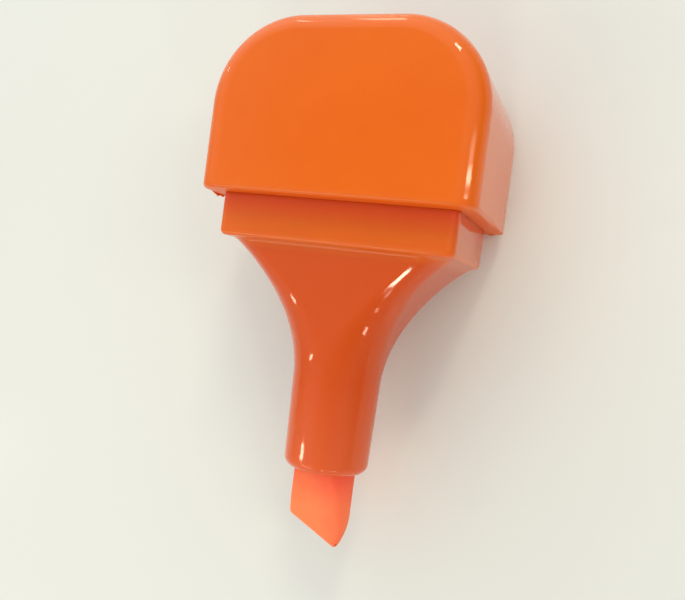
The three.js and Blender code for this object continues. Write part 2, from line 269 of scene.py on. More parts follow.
def box_point(quadrant, step, half_width, half_depth, front_corner, back_corner):
    """A point on one corner arc of the rounded rectangle; quadrants 0 and 1 are the front ones."""
    sign_x = 1 if quadrant in (0, 3) else -1
    sign_z = 1 if quadrant < 2 else -1
    corner = front_corner if quadrant < 2 else back_corner
    angle = (quadrant + step / CORNER_POINTS) * math.pi / 2
    x = sign_x * (half_width - corner) + corner * math.cos(angle)
    z = sign_z * (half_depth - corner) + corner * math.sin(angle)
    return [x, z]


# %% [markdown]
# ## The front section
#
# Collar, neck, nib tube and the skirt inside the head are one moulding, so they are one mesh: the rings run forward
# along the outside, turn in at the mouth of the tube, run back along the inside, and close on themselves at the end
# of the skirt. The flare is an arc that ends in line with the tube, which is what makes the long highlights curve.

# %% Rings of the front section
FLARE_RINGS = 44
# Above 1, the rings lie closer together next to the collar
FLARE_CROWDING = 1.2
FILLET_RINGS = 7
LIP_RINGS = 9
COLLAR_RIM_Y = STEP_Y - COLLAR_LENGTH
NECK_END_Y = COLLAR_RIM_Y - NECK_LENGTH
SEAT_Y = COLLAR_RIM_Y + SEAT_FLOOR
BORE_RADIUS = NIB_RADIUS + NIB_BORE_CLEARANCE
SKIRT_HALF_WIDTH = COLLAR_HALF_WIDTH - SKIRT_SHOULDER
SKIRT_HALF_DEPTH = COLLAR_HALF_DEPTH - SKIRT_SHOULDER
CHAMBER_HALF_WIDTH = SKIRT_HALF_WIDTH - SKIRT_WALL
CHAMBER_HALF_DEPTH = SKIRT_HALF_DEPTH - SKIRT_WALL


def flare(start, share):
    """Half size of the flare, and the cosine of its slope, at a share of its length."""
    drop = start - TUBE_ROOT_RADIUS
    radius = (NECK_LENGTH**2 + drop**2) / (2 * drop)
    ahead = NECK_LENGTH * (1 - share)
    rise = radius - math.sqrt(radius**2 - ahead**2)
    return TUBE_ROOT_RADIUS + rise, math.sqrt(1 - (ahead / radius) ** 2)


def skirt_outside():
    """The part that plugs into the head, with its snap bead."""

    def ring(y, swell):
        corner = SKIRT_CORNER_RADIUS + swell
        return section(y, SKIRT_HALF_WIDTH + swell, SKIRT_HALF_DEPTH + swell, corner, corner)

    bead_y = STEP_Y + BEAD_START
    bead_end_y = bead_y + BEAD_LENGTH
    stations = [(SKIRT_END_Y, 0), (bead_end_y, 0), (bead_end_y, BEAD_HEIGHT)]
    stations += [(bead_y, BEAD_HEIGHT), (bead_y, 0), (STEP_Y, 0)]
    return [ring(y, swell) for y, swell in stations]


def collar_outside():
    """The collar; its back edge is broken a little, which leaves a thin dark line against the head."""
    corner = COLLAR_CORNER_RADIUS
    rings = []
    for inset in (COLLAR_BACK_CHAMFER, 0):
        y = STEP_Y - COLLAR_BACK_CHAMFER + inset
        rings.append(section(y, COLLAR_HALF_WIDTH - inset, COLLAR_HALF_DEPTH - inset, corner, corner))
    for i in range(FILLET_RINGS + 1):
        angle = i / FILLET_RINGS * math.pi / 2
        inset = COLLAR_RIM_INSET * (1 - math.cos(angle))
        y = COLLAR_RIM_Y + COLLAR_RIM_FILLET * (1 - math.sin(angle))
        rings.append(section(y, COLLAR_HALF_WIDTH - inset, COLLAR_HALF_DEPTH - inset, corner, corner))
    return rings


def neck_distances():
    """Distances of the neck's rings from the collar: close together in the fillet at its root."""
    angles = [i / FILLET_RINGS * math.pi / 2 for i in range(FILLET_RINGS)]
    root = [NECK_ROOT_FILLET * (1 - math.cos(angle)) for angle in angles]
    rest = NECK_LENGTH - NECK_ROOT_FILLET
    shares = [(i / FLARE_RINGS) ** FLARE_CROWDING for i in range(FLARE_RINGS + 1)]
    return root + [NECK_ROOT_FILLET + rest * share for share in shares]


def neck_outside():
    """The flare; its first rings swell to meet the rounded edge of the collar in a small fillet."""
    rings = []
    for distance in neck_distances():
        share = distance / NECK_LENGTH
        side, _ = flare(COLLAR_HALF_WIDTH - NECK_INSET, share)
        face, _ = flare(COLLAR_HALF_DEPTH - NECK_INSET, share)
        to_fillet_end = max(0.0, 1 - distance / NECK_ROOT_FILLET)
        swell = (NECK_INSET - COLLAR_RIM_INSET) * (1 - math.sqrt(1 - to_fillet_end**2))
        roundness = smoothstep(NECK_ROUNDING_START, 1, share)
        corners = NECK_FRONT_EDGE_RADIUS, NECK_BACK_EDGE_RADIUS
        rings.append(section(COLLAR_RIM_Y - distance, side + swell, face + swell, *corners, roundness))
    return rings


def in_vent_groove(x, z):
    """True for a point round the bore that lies in one of the grooves that let air in past the nib."""
    pitch = math.tau / VENT_GROOVE_COUNT
    turn = math.atan2(z, x) % pitch
    return min(turn, pitch - turn) * BORE_RADIUS < VENT_GROOVE_WIDTH / 2


def vented(points):
    """A ring of the bore, pushed out to the floor of each vent groove."""
    floor = BORE_RADIUS + VENT_GROOVE_DEPTH
    ring = []
    for x, y, z in points:
        radius = math.hypot(x, z - AXIS_Z)
        if in_vent_groove(x, z - AXIS_Z) and radius < floor:
            x, z = x * floor / radius, AXIS_Z + (z - AXIS_Z) * floor / radius
        ring.append((x, y, z))
    return ring


def tube_outside():
    """The rounded lip of the nib tube."""
    rings = []
    for i in range(LIP_RINGS + 1):
        angle = i / LIP_RINGS * math.pi / 2
        radius = TUBE_MOUTH_RADIUS - TUBE_LIP_RADIUS * (1 - math.cos(angle))
        y = TUBE_MOUTH_Y + TUBE_LIP_RADIUS * (1 - math.sin(angle))
        rings.append(vented(round_section(y, radius)))
    return rings


def inside():
    """The bore of the nib, the funnel in the neck, the seat of the core and the chamber behind it."""
    rings = [vented(round_section(y, BORE_RADIUS)) for y in (TUBE_MOUTH_Y, NECK_END_Y)]
    rings.append(round_section(NECK_END_Y, BORE_RADIUS))
    for i in range(1, FLARE_RINGS + 1):
        share = 1 - i / FLARE_RINGS
        side, side_cosine = flare(COLLAR_HALF_WIDTH - NECK_INSET, share)
        face, face_cosine = flare(COLLAR_HALF_DEPTH - NECK_INSET, share)
        half_width = max(side - NECK_WALL / side_cosine, BORE_RADIUS)
        half_depth = max(face - NECK_WALL / face_cosine, BORE_RADIUS)
        roundness = smoothstep(NECK_ROUNDING_START, 1, share)
        y = COLLAR_RIM_Y - share * NECK_LENGTH
        rings.append(section(y, half_width, half_depth, CHAMBER_CORNER, CHAMBER_CORNER, roundness))
    rings.append(section(SEAT_Y, half_width, half_depth, CHAMBER_CORNER, CHAMBER_CORNER))
    for y in (SEAT_Y, SKIRT_END_Y):
        rings.append(section(y, CHAMBER_HALF_WIDTH, CHAMBER_HALF_DEPTH, CHAMBER_CORNER, CHAMBER_CORNER))
    return rings


# %% Build the front section
def build_front():
    shape = bmesh.new()
    rows = [*skirt_outside(), *collar_outside(), *neck_outside(), *tube_outside(), *inside()]
    rings = [add_ring(shape, points) for points in rows]
    for ring_a, ring_b in zip(rings, rings[1:] + rings[:1]):
        join_rings(shape, ring_a, ring_b)
    mesh = finish_mesh("front_moulding", shape)
    return link_piece("front_moulding", mesh, "front_section")


front_piece = build_front()

# %% [markdown]
# ## The head
#
# The head is a thick shell with a rounded closed end. Its skin is one outline, up one side, over the two round
# corners and down the other, repeated at many depths: the outline is drawn in at the front and back to make the
# fillets. The faces between the fillets are filled with rows that join each left point to its mirror point.

# %% Outline and skin of the head
SIDE_STEPS = 26
CORNER_STEPS = 40
END_STEPS = 30
EDGE_STEPS = 12
WALL_STEPS = 24
WALL_SUPPORT = 0.006
FACE_STEPS = 2 * END_STEPS
RIM_TOP_Y = STEP_Y + RIM_ROUNDING


def draft(height):
    """How far a side leans in at this height over the axis, so that the moulding leaves its mould."""
    flat = HEAD_HALF_DEPTH - HEAD_EDGE_FILLET
    return HEAD_SIDE_DRAFT * (min(max(height, -flat), flat) + flat) / (2 * flat)


def head_outline(inset, height):
    """Points from the left rim, over the closed end, to the right rim, drawn in by the inset."""
    radius = HEAD_CORNER_RADIUS - inset
    centre_x = HEAD_HALF_WIDTH - draft(height) - HEAD_CORNER_RADIUS
    centre_y = HEAD_END_Y - HEAD_CORNER_RADIUS
    side_x = centre_x + radius
    half = [(side_x, lerp(RIM_TOP_Y, centre_y, i / SIDE_STEPS)) for i in range(SIDE_STEPS)]
    for i in range(CORNER_STEPS):
        angle = i / CORNER_STEPS * math.pi / 2
        half.append((centre_x + radius * math.cos(angle), centre_y + radius * math.sin(angle)))
    top = [(lerp(centre_x, 0, i / END_STEPS), HEAD_END_Y - inset) for i in range(END_STEPS + 1)]
    right = half + top
    left = [(-x, y) for x, y in right[:-1]]
    return left + right[::-1]


def head_levels():
    """Inset and height of each copy of the outline, from the back face to the front face."""
    flat = HEAD_HALF_DEPTH - HEAD_EDGE_FILLET
    levels = []
    for i in range(EDGE_STEPS + 1):
        angle = i / EDGE_STEPS * math.pi / 2
        inset = HEAD_EDGE_FILLET * (1 - math.sin(angle))
        levels.append((inset, -flat - HEAD_EDGE_FILLET * math.cos(angle)))
    shares = [WALL_SUPPORT, *(i / WALL_STEPS for i in range(1, WALL_STEPS)), 1 - WALL_SUPPORT]
    wall = [(0.0, lerp(-flat, flat, share)) for share in shares]
    return levels + wall + [(inset, -height) for inset, height in levels[::-1]]


def face_rows(shape, outline):
    """Rows across a face, from each left point of the outline to its mirror point; returns the rim's row."""
    count = len(outline)
    end_start = SIDE_STEPS + CORNER_STEPS
    rows = []
    for i in range(end_start):
        left, right = outline[i], outline[count - 1 - i]
        inner = [left.co.lerp(right.co, k / FACE_STEPS) for k in range(1, FACE_STEPS)]
        rows.append([left, *add_ring(shape, inner), right])
    rows.append(outline[end_start : count - end_start])
    for row_a, row_b in zip(rows, rows[1:]):
        join_rings(shape, row_a, row_b, closed=False)
    return rows[0]


# %% [markdown]
# ## The rim and what is behind it
#
# At the open end the wall rolls in over a small radius, a flat ring leads to the mouth, and the mouth runs back into
# the shell, past a groove for the snap bead, to a rounded end. Each step of the roll follows the way to the pen's
# axis, measured square to the rim, so its radius is the same on sides, faces and corners. Along two stretches the
# edge stays sharp: that is where the worn mould leaves flash.

# %% Rim, mouth and hollow of the head
RIM_STEPS = 5
MOUTH_CHAMFER = 0.2
FLASH_EDGE_ROUNDING = 0.07
FLASH_OVER_AXIS = 6.0
FLASH_TOP = AXIS_Z + FLASH_OVER_AXIS
FLASH_FADE_MM = 1.2
END_RINGS = 12


def rim_way_in(point):
    """Unit direction in the rim plane from a rim point towards the inside of the head."""
    flat_x = HEAD_HALF_WIDTH - HEAD_EDGE_FILLET
    flat_z = HEAD_HALF_DEPTH - HEAD_EDGE_FILLET
    x = math.copysign(max(abs(point.x) - flat_x, 0), point.x)
    z = math.copysign(max(abs(point.z - AXIS_Z) - flat_z, 0), point.z - AXIS_Z)
    return -Vector((x, 0, z)).normalized()


def flash_share(x, z):
    """From 0 to 1, how far the rim at this place is a sharp edge with flash."""
    if x < -HEAD_HALF_WIDTH + HEAD_EDGE_FILLET / 2:
        return smoothstep(FLASH_TOP, FLASH_TOP - FLASH_FADE_MM, z)
    if x > COLLAR_HALF_WIDTH:
        return smoothstep(AXIS_Z, AXIS_Z - HEAD_HALF_DEPTH / 2, z)
    return 0.0


def rolled_rim(shape, skin_rim):
    """Rolls the rim in over its small radius and returns the inner loop of the roll."""
    previous = skin_rim
    starts = [(Vector((v.co.x, STEP_Y, v.co.z)), rim_way_in(v.co)) for v in skin_rim]
    for i in range(RIM_STEPS + 1):
        angle = i / RIM_STEPS * math.pi / 2
        ring = []
        for place, way in starts:
            radius = lerp(RIM_ROUNDING, FLASH_EDGE_ROUNDING, flash_share(place.x, place.z))
            back = Vector((0, radius * (1 - math.sin(angle)), 0))
            ring.append(shape.verts.new(place + way * radius * (1 - math.cos(angle)) + back))
        join_rings(shape, previous, ring)
        previous = ring
    return previous


def mouth_section(y, clearance):
    corner = SKIRT_CORNER_RADIUS + clearance
    return section(y, SKIRT_HALF_WIDTH + clearance, SKIRT_HALF_DEPTH + clearance, corner, corner)


def hollow_rings():
    """Sections from the chamfered mouth, past the groove for the snap bead, to the rounded end."""
    groove_start = STEP_Y + BEAD_START - PLUG_CLEARANCE
    groove_end = STEP_Y + BEAD_START + BEAD_LENGTH + PLUG_CLEARANCE
    stations = [(STEP_Y, MOUTH_CHAMFER), (STEP_Y + MOUTH_CHAMFER, 0), (groove_start, 0)]
    stations += [(groove_start, BEAD_HEIGHT), (groove_end, BEAD_HEIGHT), (groove_end, 0)]
    rings = [mouth_section(y, PLUG_CLEARANCE + swell) for y, swell in stations]
    centre_x = HEAD_HALF_WIDTH - HEAD_CORNER_RADIUS
    centre_y = HEAD_END_Y - HEAD_CORNER_RADIUS
    radius = HEAD_CORNER_RADIUS - HEAD_END_WALL
    start = math.acos((SKIRT_HALF_WIDTH + PLUG_CLEARANCE - centre_x) / radius)
    corner = SKIRT_CORNER_RADIUS + PLUG_CLEARANCE
    for i in range(END_RINGS + 1):
        angle = lerp(start, math.pi / 2, i / END_RINGS)
        half_width = centre_x + radius * math.cos(angle)
        y = centre_y + radius * math.sin(angle)
        rings.append(section(y, half_width, SKIRT_HALF_DEPTH + PLUG_CLEARANCE, corner, corner))
    return rings


def loop_edges(shape, ring):
    edges = []
    for i, vertex in enumerate(ring):
        following = ring[(i + 1) % len(ring)]
        edges.append(shape.edges.get((vertex, following)) or shape.edges.new((vertex, following)))
    return edges


# %% [markdown]
# ## Ribs and flash
#
# Three ribs on the closed end stop the ink core, so that air can pass behind it. Flash is a ragged skin, thinner than
# paper, that hangs from the edge of the rim. Both are closed blocks, joined to the shell with an exact boolean: the
# result is one clean surface, with no faces left inside the wall.

# %% Blocks that are joined to the head
FLASH_THICKNESS = 0.1
FLASH_ROOT = 0.3
FLASH_STEP = 0.08
FLASH_TOOTH_MM = 0.7
FLASH_LEFT = 0.42
FLASH_RIGHT = 0.2
FLASH_BACK_REACH = 2.0
# Shares of the flash's depth: fine fraying, a bias that fills gaps, and the least that is left
FLASH_FRAY = 0.2
FLASH_BIAS = 0.12
FLASH_LEAST = 0.02
RIB_BEVEL = 0.15


def flash_line_left():
    """Points of the left rim from its front end backwards, each with its way in."""
    length = FLASH_TOP - AXIS_Z + HEAD_HALF_DEPTH / 2
    count = round(length / FLASH_STEP)
    heights = [FLASH_TOP - AXIS_Z - length * i / count for i in range(count + 1)]
    return [(draft(height) - HEAD_HALF_WIDTH, AXIS_Z + height, Vector((1, 0, 0))) for height in heights]


def flash_line_right():
    """Points round the back right corner of the rim, then a little way along its back."""
    radius = HEAD_EDGE_FILLET
    centre_x, centre_z = HEAD_HALF_WIDTH - radius, AXIS_Z - HEAD_HALF_DEPTH + radius
    count = round(radius * math.pi / 2 / FLASH_STEP)
    line = []
    for i in range(count + 1):
        angle = i / count * math.pi / 2
        way = Vector((math.cos(angle), 0, -math.sin(angle)))
        line.append((centre_x + radius * way.x, centre_z + radius * way.z, -way))
    steps = round(FLASH_BACK_REACH / FLASH_STEP)
    for i in range(1, steps + 1):
        line.append((centre_x - i * FLASH_STEP, centre_z - radius, Vector((0, 0, 1))))
    return line


def add_flash(shape, line, depth):
    """A thin strip along the line; its lower edge is ragged, and its root lies inside the wall."""
    previous = None
    for x, z, way in line:
        teeth = noise.noise(Vector((x, 0, z)) / FLASH_TOOTH_MM)
        fray = FLASH_FRAY * noise.noise(Vector((z, x, 0)) / FLASH_STEP)
        tooth = depth * flash_share(x, z) * max(teeth + fray + FLASH_BIAS, FLASH_LEAST)
        outer = Vector((x, 0, z)) + way * FLASH_EDGE_ROUNDING / 2
        inner = outer + way * FLASH_THICKNESS
        top, foot = Vector((0, STEP_Y + FLASH_ROOT, 0)), Vector((0, STEP_Y - tooth, 0))
        ring = add_ring(shape, [outer + top, outer + foot, inner + foot, inner + top])
        if previous:
            join_rings(shape, previous, ring)
        else:
            shape.faces.new(ring)
        previous = ring
    shape.faces.new(previous)


def add_rib(shape, x):
    """One standoff rib, with its long edges broken, rooted in the middle of the end wall."""
    from_y, to_y = core_high.y + RIB_CLEARANCE, HEAD_END_Y - HEAD_END_WALL / 2
    depth = 2 * (SKIRT_HALF_DEPTH + PLUG_CLEARANCE) + RIB_WIDTH
    rib = bmesh.ops.create_cube(shape, size=1)["verts"]
    bmesh.ops.scale(shape, vec=(RIB_WIDTH, to_y - from_y, depth), verts=rib)
    bmesh.ops.translate(shape, vec=(x, (from_y + to_y) / 2, AXIS_Z), verts=rib)
    lower = [e for e in shape.edges if all(v in rib and v.co.y < (from_y + to_y) / 2 for v in e.verts)]
    bmesh.ops.bevel(shape, geom=lower, offset=RIB_BEVEL, segments=2, affect="EDGES", profile=0.5)


def united(name, shape, blocks):
    """Joins closed blocks to a closed shape with an exact boolean; returns the one surface that is left."""
    pair = []
    for part_name, part in ((name + "_shell", shape), (name + "_blocks", blocks)):
        bmesh.ops.remove_doubles(part, verts=part.verts, dist=SAME_PLACE_MM)
        bmesh.ops.recalc_face_normals(part, faces=part.faces)
        mesh = bpy.data.meshes.new(part_name)
        part.to_mesh(mesh)
        part.free()
        pair.append(bpy.data.objects.new(part_name, mesh))
        scene.collection.objects.link(pair[-1])
    join = pair[0].modifiers.new("join", "BOOLEAN")
    join.operation, join.solver, join.object = "UNION", "EXACT", pair[1]
    result = bmesh.new()
    result.from_mesh(pair[0].evaluated_get(bpy.context.evaluated_depsgraph_get()).to_mesh())
    for thing in pair:
        bpy.data.meshes.remove(thing.data)
    return result


# %% Build the head
def head_shell():
    """Skin, faces, rim and hollow, as one closed shell."""
    shape = bmesh.new()
    columns = []
    for inset, height in head_levels():
        points = [(x, y, AXIS_Z + height) for x, y in head_outline(inset, height)]
        columns.append(add_ring(shape, points))
    for column_a, column_b in zip(columns, columns[1:]):
        join_rings(shape, column_a, column_b, closed=False)
    back_edge = face_rows(shape, columns[0])
    front_edge = face_rows(shape, columns[-1])
    left = [column[0] for column in columns]
    right = [column[-1] for column in columns]
    roll = rolled_rim(shape, left + front_edge[1:-1] + right[::-1] + back_edge[-2:0:-1])
    flat = add_ring(shape, [v.co + rim_way_in(v.co) * RIM_ROUNDING for v in roll])
    join_rings(shape, roll, flat)
    hollow = [add_ring(shape, points) for points in hollow_rings()]
    bmesh.ops.bridge_loops(shape, edges=loop_edges(shape, flat) + loop_edges(shape, hollow[0]))
    for ring_a, ring_b in zip(hollow, hollow[1:]):
        join_rings(shape, ring_a, ring_b)
    shape.faces.new(hollow[-1])
    return shape


def head_blocks():
    blocks = bmesh.new()
    for i in range(RIB_COUNT):
        add_rib(blocks, (i - (RIB_COUNT - 1) / 2) * RIB_SPACING)
    add_flash(blocks, flash_line_left(), FLASH_LEFT)
    add_flash(blocks, flash_line_right(), FLASH_RIGHT)
    return blocks


head_mesh = finish_mesh("head_moulding", united("head_moulding", head_shell(), head_blocks()))
head_piece = link_piece("head_moulding", head_mesh, "head_shell")

# %% [markdown]
# ## The nib
#
# A highlighter nib is a rod of bonded fibre, ground on a wheel. Its edges are never sharp, so cutting a rod with
# planes looks wrong. Here each ground face is a distance function, and the nib is the place where all of them are
# negative. Adding their squares near an edge rounds it by a real radius. Rays from a point inside then find the
# surface.

# %% Nib shape from its ground faces
NIB_RAYS_ROUND = 144
NIB_RAYS_ALONG = 96
SEARCH_STEPS = 40
WEAR_PITCH_MM = 0.55
WEAR_MM = 0.012
NIB_RAY_START = 1.2
NIB_RAY_START_Y = TUBE_MOUTH_Y + NIB_RAY_START
# The last rays stop just short of the axis, so that the tip closes with a tiny face
LAST_RAY_TILT = 0.03


def nib_depth(points):
    """Below zero inside the nib, above zero outside, in millimetres."""
    x, y, z = points[..., 0], points[..., 1], points[..., 2] - AXIS_Z
    ground = 1 - np.clip((y - NIB_TIP_Y) / NIB_GROUND_LENGTH, 0, 1)
    rod = np.hypot(x, z) - NIB_RADIUS + (NIB_RADIUS - NIB_GROUND_RADIUS) * ground**2
    edge_y = NIB_TIP_Y + NIB_GROUND_RADIUS * math.tan(NIB_SLANT)
    slant = -x * math.sin(NIB_SLANT) - (y - edge_y) * math.cos(NIB_SLANT)
    faces = [rod, slant]
    for side in (1, -1):
        lift = side * z - NIB_EDGE_THICKNESS / 2
        faces.append(lift * math.cos(NIB_WEDGE_ANGLE) + slant * math.sin(NIB_WEDGE_ANGLE))
    over = np.clip(np.stack(faces) + NIB_EDGE_ROUNDING, 0, None)
    return np.sqrt((over**2).sum(0)) - NIB_EDGE_ROUNDING


def nib_end_rings():
    """Rings from the widest circle forward to the tip, found along rays from inside the rod."""
    centre = np.array([0.0, NIB_RAY_START_Y, AXIS_Z])
    tilt = np.linspace(math.pi / 2, LAST_RAY_TILT, NIB_RAYS_ALONG)[:, None]
    turn = np.linspace(0, math.tau, NIB_RAYS_ROUND, endpoint=False)[None, :]
    forward = -np.cos(tilt) * np.ones_like(turn)
    ways = np.stack([np.sin(tilt) * np.cos(turn), forward, np.sin(tilt) * np.sin(turn)], axis=-1)
    near = np.zeros(ways.shape[:2])
    far = np.full(ways.shape[:2], 2.0 * (NIB_RAY_START_Y - NIB_TIP_Y))
    for _ in range(SEARCH_STEPS):
        middle = (near + far) / 2
        outside = nib_depth(centre + ways * middle[..., None]) > 0
        far = np.where(outside, middle, far)
        near = np.where(outside, near, middle)
    return centre + ways * near[..., None]


def worn(point, share):
    """Fine unevenness of the ground fibre, fading out towards the tube."""
    amount = noise.noise(Vector(point) / WEAR_PITCH_MM) * WEAR_MM * share
    away = Vector((point[0], 0, point[2] - AXIS_Z)).normalized()
    return Vector(point) - away * (WEAR_MM * share + amount)


def build_nib():
    """The tail that reaches into the core, then the ground end."""
    shape = bmesh.new()
    front_rows = nib_end_rings()
    tail_y = nib_high.y
    turn = np.linspace(0, math.tau, NIB_RAYS_ROUND, endpoint=False)
    previous = None
    for y, radius in ((tail_y, NIB_TAIL_RADIUS), (tail_y - NIB_TAIL_TAPER, NIB_RADIUS)):
        points = [(radius * math.cos(a), y, AXIS_Z + radius * math.sin(a)) for a in turn]
        ring = add_ring(shape, points)
        if previous is None:
            shape.faces.new(ring)
        else:
            join_rings(shape, previous, ring)
        previous = ring
    for index, row in enumerate(front_rows):
        ring = add_ring(shape, [worn(point, index / NIB_RAYS_ALONG) for point in row])
        join_rings(shape, previous, ring)
        previous = ring
    shape.faces.new(previous)
    return link_piece("fibre_nib", finish_mesh("fibre_nib", shape), "chisel_nib")


nib_piece = build_nib()

# %% [markdown]
# ## Colours and a helper for materials
#
# Screen colours are written as hex and are not linear, while Blender's sockets are. One function turns the first into
# the second. One small helper adds a node with its settings and links, and a few more stand for the steps that every
# material takes. That keeps each material short enough to read as a recipe.

# %% Colour and node helpers
def linear(hex_colour):
    """sRGB hex to a linear RGBA colour."""
    channels = [int(hex_colour[i : i + 2], 16) / 255 for i in (1, 3, 5)]
    return tuple(c / 12.92 if c <= 0.04045 else ((c + 0.055) / 1.055) ** 2.4 for c in channels) + (1.0,)


def add_node(tree, kind, settings=None, links=None):
    """Adds a node, sets its properties or sockets by name or number, and links outputs into its sockets."""
    node = tree.nodes.new(kind)
    for key, value in (settings or {}).items():
        if isinstance(key, str) and hasattr(node, key):
            setattr(node, key, value)
        else:
            node.inputs[key].default_value = value
    for key, output in (links or {}).items():
        tree.links.new(output, node.inputs[key])
    return node


def start_material(name):
    """A new material, its node tree, and the place on the object in metres."""
    material = bpy.data.materials.new(name)
    material.use_nodes = True
    tree = material.node_tree
    tree.nodes.clear()
    return material, tree, add_node(tree, "ShaderNodeTexCoord").outputs["Object"]


def add_surface(tree, settings, links):
    """The shader, and the output that it ends in."""
    shader = add_node(tree, "ShaderNodeBsdfPrincipled", settings, links)
    add_node(tree, "ShaderNodeOutputMaterial", None, {"Surface": shader.outputs[0]})


# Most values of a noise texture lie in this range
NOISE_RANGE = (0.3, 0.7)


def add_noise(tree, where, cell_mm, detail):
    """Noise whose cells have this size."""
    settings = {"Scale": 1 / (cell_mm * MM), "Detail": detail}
    return add_node(tree, "ShaderNodeTexNoise", settings, {"Vector": where}).outputs[0]


def drawn_out(tree, where, squeeze):
    """Places squeezed along the pen, which draws a texture out into lines."""
    return add_node(tree, "ShaderNodeMapping", {"Scale": (1.0, squeeze, 1.0)}, {"Vector": where}).outputs[0]


def add_bump(tree, height, depth_mm, strength=1.0):
    settings = {"Strength": strength, "Distance": depth_mm * MM}
    return add_node(tree, "ShaderNodeBump", settings, {"Height": height}).outputs[0]


def coordinate(tree, where, axis):
    return add_node(tree, "ShaderNodeSeparateXYZ", None, {0: where}).outputs[axis]


def math_node(tree, operation, value, other):
    """One step of arithmetic on a linked value and either a number or a second linked value."""
    settings, links = {"operation": operation}, {0: value}
    (settings if isinstance(other, float) else links)[1] = other
    return add_node(tree, "ShaderNodeMath", settings, links).outputs[0]


# Socket numbers of the Mix node's colour inputs and output
MIX_A, MIX_B, MIX_RESULT = 6, 7, 2


def mix_colours(tree, amount, colour_a, colour_b):
    """Blends two colours; each is a linked output or a fixed colour."""
    settings, links = {"data_type": "RGBA"}, {0: amount}
    for key, colour in ((MIX_A, colour_a), (MIX_B, colour_b)):
        if isinstance(colour, tuple):
            settings[key] = colour
        else:
            links[key] = colour
    return add_node(tree, "ShaderNodeMix", settings, links).outputs[MIX_RESULT]


def remap(tree, value, low, high, to_low, to_high):
    """Turns the range low to high into to_low to to_high, and stops at its ends."""
    settings = {1: low, 2: high, 3: to_low, 4: to_high}
    return add_node(tree, "ShaderNodeMapRange", settings, {0: value}).outputs[0]


# %% [markdown]
# ## Injection-moulded polypropylene
#
# Both mouldings are polypropylene, coloured in the mass and moulded in polished steel. What the eye gets from that:
# a clear gloss with very slight orange-peel, a little light that enters and comes out again nearby, faint flow marks
# in the pigment, and fine scratches from handling. The head is thick and opaque. The front section is thinner and
# takes more light in. Its colour also carries painted shade and light. The hollow neck is painted redder than the
# collar, which has the skirt and the core behind it, as painted shade. The collar is painted redder again next to the
# head's rim, as a painted shadow of the rim. The tube is painted paler towards the mouth, as painted light where the
# nib shines through. The end of the head's rim was never polished, so it has a satin finish.

# %% Moulded polypropylene
FLOW_MARK_MM = 7.0
FLOW_MARK_RANGE = (0.35, 0.75)
FLOW_MARK_STRENGTH = 0.55
ORANGE_PEEL_MM = 1.6
ORANGE_PEEL_DEPTH_MM = 0.0025
SCRATCH_MM = 0.12
SCRATCH_SQUEEZE = 0.05
SCRATCH_RANGE = (0.55, 0.85)
SCRATCH_ROUGHNESS = 0.1
# A little under the usual 1.49: the edges of these mouldings mirror less than that gives
POLYPROPYLENE_IOR = 1.44
# Red light goes farthest inside orange plastic
PLASTIC_SCATTER = (1.0, 0.32, 0.12)
SATIN_ROUGHNESS = 0.4
SATIN_FADE_MM = 0.1
# Painted shade: the hollow neck is painted redder than the collar, fading in over this length below the collar's rim
PAINTED_NECK_SHADE_FADE_MM = 0.9
# Painted shadow of the head's rim: the collar is painted redder over this length next to it
PAINTED_RIM_SHADOW_MM = 2.4
# Painted light: the tube is painted paler over this length towards its mouth
PAINTED_MOUTH_LIGHT_MM = 9.0


def moulded_polypropylene(name, colours, roughness, scatter, scatter_mm, satin_below_y=None, painted_light_zones=()):
    """Glossy plastic; each painted zone of light or shade is where its colour starts, where it is full, and the
    colour.
    """
    material, tree, where = start_material(name)
    flow = add_noise(tree, where, FLOW_MARK_MM, 3.0)
    streaks = remap(tree, flow, *FLOW_MARK_RANGE, 0.0, FLOW_MARK_STRENGTH)
    base = mix_colours(tree, streaks, linear(colours[0]), linear(colours[1]))
    y = coordinate(tree, where, "Y")
    # Painted light and shade, zone by zone along the pen
    for none_at_y, full_at_y, painted_colour in painted_light_zones:
        share = remap(tree, y, none_at_y * MM, full_at_y * MM, 0.0, 1.0)
        base = mix_colours(tree, share, base, linear(painted_colour))
    scratches = add_noise(tree, drawn_out(tree, where, SCRATCH_SQUEEZE), SCRATCH_MM, 2.0)
    rough = remap(tree, scratches, *SCRATCH_RANGE, roughness, roughness + SCRATCH_ROUGHNESS)
    if satin_below_y is not None:
        ends = satin_below_y * MM, (satin_below_y + SATIN_FADE_MM) * MM
        rough = math_node(tree, "MAXIMUM", rough, remap(tree, y, *ends, SATIN_ROUGHNESS, 0.0))
    peel = add_bump(tree, add_noise(tree, where, ORANGE_PEEL_MM, 1.0), ORANGE_PEEL_DEPTH_MM)
    settings = {
        "IOR": POLYPROPYLENE_IOR,
        "Subsurface Weight": scatter,
        "Subsurface Radius": PLASTIC_SCATTER,
        "Subsurface Scale": scatter_mm * MM,
    }
    add_surface(tree, settings, {"Base Color": base, "Roughness": rough, "Normal": peel})
    return material


head_plastic = moulded_polypropylene(
    "opaque_polypropylene",
    colours=("#E86C10", "#E2640C"),
    roughness=0.05,
    scatter=0.15,
    scatter_mm=0.7,
    satin_below_y=STEP_Y,
)
front_plastic = moulded_polypropylene(
    "translucent_polypropylene",
    colours=("#DF6B18", "#D96314"),
    roughness=0.04,
    scatter=0.55,
    scatter_mm=2.0,
    painted_light_zones=(
        # painted shade along the hollow neck
        (COLLAR_RIM_Y, COLLAR_RIM_Y - PAINTED_NECK_SHADE_FADE_MM, "#D4540E"),
        # painted shadow of the head's rim on the collar
        (STEP_Y - PAINTED_RIM_SHADOW_MM, STEP_Y, "#E2521E"),
        # painted light towards the mouth of the tube
        (TUBE_MOUTH_Y + PAINTED_MOUTH_LIGHT_MM, TUBE_MOUTH_Y, "#DE6430"),
    ),
)
head_piece.data.materials.append(head_plastic)
front_piece.data.materials.append(front_plastic)
print("plastics:", head_plastic.name, "and", front_plastic.name)
